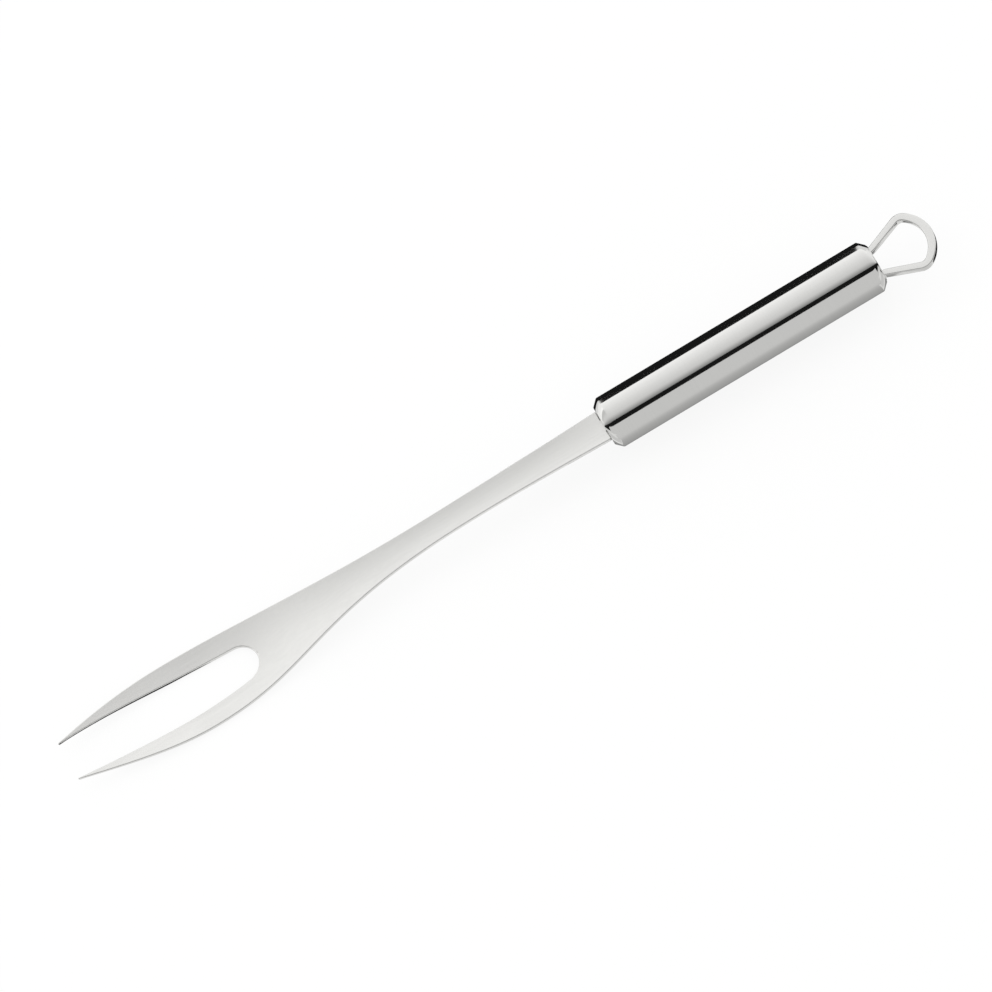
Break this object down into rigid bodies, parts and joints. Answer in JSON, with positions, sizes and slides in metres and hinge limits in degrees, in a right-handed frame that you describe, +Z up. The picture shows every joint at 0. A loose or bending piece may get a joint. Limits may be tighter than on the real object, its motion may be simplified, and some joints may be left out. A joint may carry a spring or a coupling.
{
  "type": "meat fork",
  "caption": "Carving fork with long curved tines, a flat tapering shank, a tubular handle and a wire loop to hang it by.",
  "frame": {"origin": "middle of the overall length and width, at the level of the lowest point, under the belly of the head", "axes": "+X along the handle from the tines to the hanging loop, +Y across the blade, +Z up with the hollow side of the tines upward"},
  "size_m": [0.3554, 0.0322, 0.0247],
  "materials": {
    "satin_steel": "fine satin grain along the blade",
    "polished_tube": "mirror polish with faint lengthwise grain",
    "polished_cap": "mirror polish",
    "loop_steel": "satin with bright edges"
  },
  "bodies": {
    "root": {"fork_blade": "satin_steel", "handle_tube": "polished_tube", "front_cap": "polished_cap", "rear_cap": "polished_cap", "hanging_loop": "loop_steel"}
  },
  "joints": []
}
